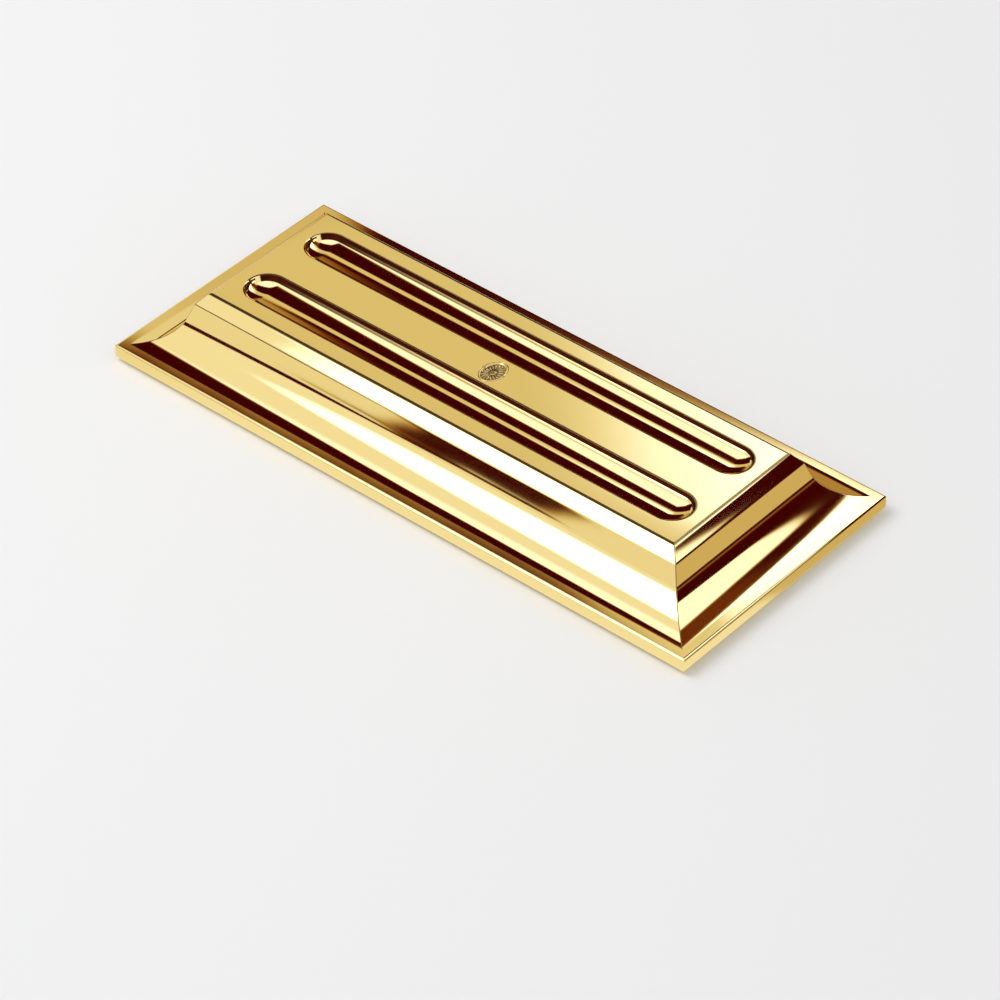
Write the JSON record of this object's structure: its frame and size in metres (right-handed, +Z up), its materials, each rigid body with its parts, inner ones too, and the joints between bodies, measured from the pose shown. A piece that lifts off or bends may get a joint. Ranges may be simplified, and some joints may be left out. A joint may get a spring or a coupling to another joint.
{
  "type": "pen holder",
  "caption": "Flat desk pen holder: a polished gold-coloured stepped base with mitred mouldings and parallel round-ended troughs for pens, on a non-slip mat.",
  "frame": {"origin": "on the desk, under the middle of the holder", "axes": "+X along the pens and the long side, +Y across the troughs, +Z up"},
  "size_m": [0.2214, 0.095, 0.0235],
  "materials": {
    "gold_plate": "mirror-polished brass with bright gold plating",
    "zinc_steel": "zinc-plated sheet steel",
    "black_rubber": "matte, fine-grained",
    "bright_steel": "bright nickel-plated"
  },
  "bodies": {
    "root": {"body_shell": "gold_plate", "oval_medallion": "gold_plate", "base_plate": "zinc_steel", "base_mat": "black_rubber", "base_screw_1": "bright_steel", "base_screw_2": "bright_steel", "base_screw_3": "bright_steel", "base_screw_4": "bright_steel", "base_screw_5": "bright_steel", "base_screw_6": "bright_steel"}
  },
  "joints": []
}
